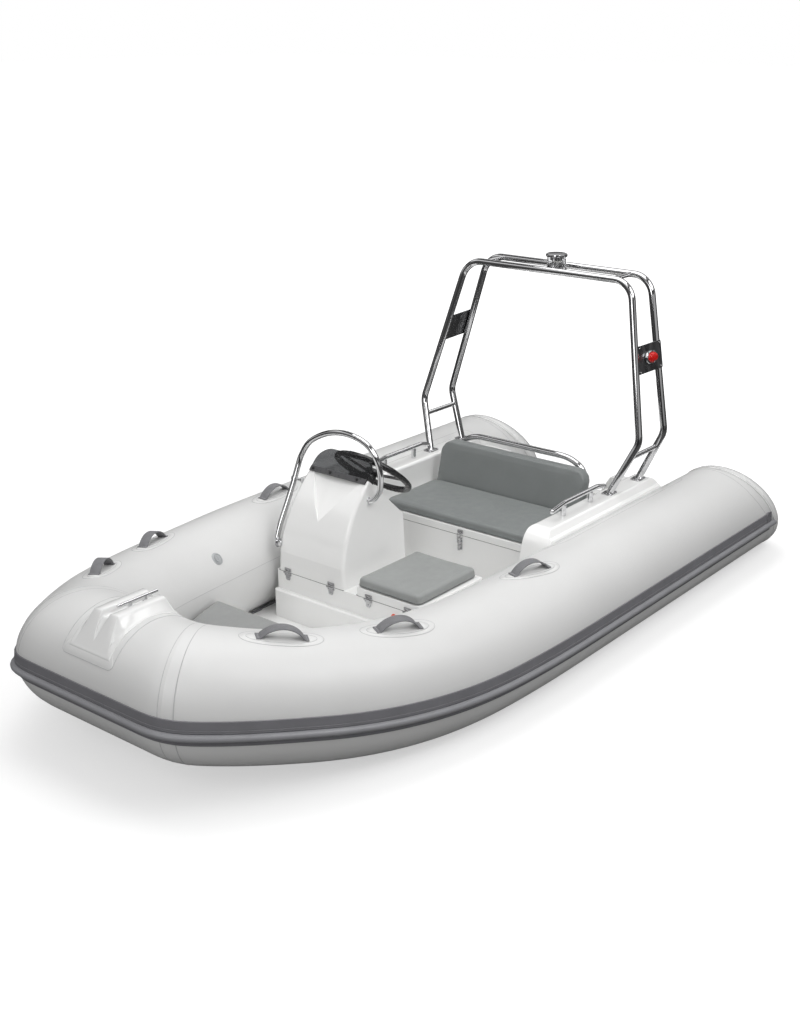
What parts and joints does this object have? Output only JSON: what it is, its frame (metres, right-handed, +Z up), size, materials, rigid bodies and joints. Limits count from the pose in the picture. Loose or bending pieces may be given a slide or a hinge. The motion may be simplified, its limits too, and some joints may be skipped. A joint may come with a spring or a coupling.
{
  "type": "rigid inflatable boat",
  "caption": "Small rigid inflatable boat with a V hull, inflatable collar, offset helm console, jockey seat, rear bench and a tubular light arch.",
  "frame": {"origin": "on the centreline at the waterline, in the plane of the transom's aft face", "axes": "+X towards the bow, +Y to port, +Z up"},
  "size_m": [3.7085, 1.9382, 1.6889],
  "materials": {
    "gelcoat": "white moulded laminate, glossy",
    "tube_fabric": "white coated collar fabric, satin",
    "strake_rubber": "dark grey rubbing strake",
    "rail_rubber": "mid grey fender rail",
    "webbing": "grey webbing",
    "stainless": "polished stainless tube",
    "upholstery": "mid grey upholstery vinyl",
    "black_plastic": "black, satin",
    "valve_plastic": "grey valve",
    "smoked": "smoked acrylic",
    "lens_clear": "clear lens",
    "lens_red": "red lens",
    "lens_green": "green lens"
  },
  "bodies": {
    "boat": {"hull": "gelcoat", "deck_strip": "strake_rubber", "transom": "gelcoat", "tube_port": "tube_fabric", "tube_starboard": "tube_fabric", "tube_bow": "tube_fabric", "end_cap_port": "gelcoat", "end_cap_starboard": "gelcoat", "rubbing_strake": "strake_rubber", "rub_rail": "rail_rubber", "handles_port": "webbing", "handles_starboard": "webbing", "inflation_valves": "valve_plastic", "bow_locker": "gelcoat", "bow_pad": "upholstery", "bow_step": "gelcoat", "bow_cleat": "stainless", "side_moulding_port": "gelcoat", "side_moulding_starboard": "gelcoat", "side_rail_port": "stainless", "side_rail_starboard": "stainless", "bench_box": "gelcoat", "bench_latch": "stainless", "base_box": "gelcoat", "clamp_pad": "black_plastic", "hinge_leaves_fixed": "stainless", "arch_front_hoop": "stainless", "arch_rear_hoop": "stainless", "arch_bars": "stainless", "arch_feet": "stainless", "light_plates": "stainless", "nav_light_port": "lens_red", "nav_light_starboard": "lens_green", "mast_light_body": "stainless", "mast_light_lens": "lens_clear", "stern_eyes": "stainless"},
    "console": {"console_shell": "gelcoat", "console_hinges": "stainless", "console_rail": "stainless", "windscreen": "smoked", "instrument_pod": "black_plastic", "helm_column": "black_plastic"},
    "wheel": {"steering_wheel": "black_plastic"},
    "jockey_seat": {"jockey_lid": "gelcoat", "jockey_cushion": "upholstery", "lid_hinges": "stainless"},
    "bench_seat": {"bench_lid": "gelcoat", "bench_cushion": "upholstery", "backrest": "upholstery", "backrest_rail": "stainless", "bench_lid_hinges": "stainless"}
  },
  "joints": [
    {"name": "console_tilt", "type": "hinge", "parent": "boat", "child": "console", "pos_m": [1.607, -0.25, 0.24515], "axis": [0, 1, 0], "range_deg": [0, 70]},
    {"name": "wheel_turn", "type": "hinge", "parent": "console", "child": "wheel", "pos_m": [1.181, -0.24, 0.625], "axis": [-0.6481, 0, 0.7615], "range_deg": [-540, 540]},
    {"name": "jockey_lid_hinge", "type": "hinge", "parent": "boat", "child": "jockey_seat", "pos_m": [1.607, 0.19, 0.24515], "axis": [0, 1, 0], "range_deg": [0, 95]},
    {"name": "bench_lid_hinge", "type": "hinge", "parent": "boat", "child": "bench_seat", "pos_m": [0.295, 0, 0.31215], "axis": [0, -1, 0], "range_deg": [0, 70]}
  ]
}
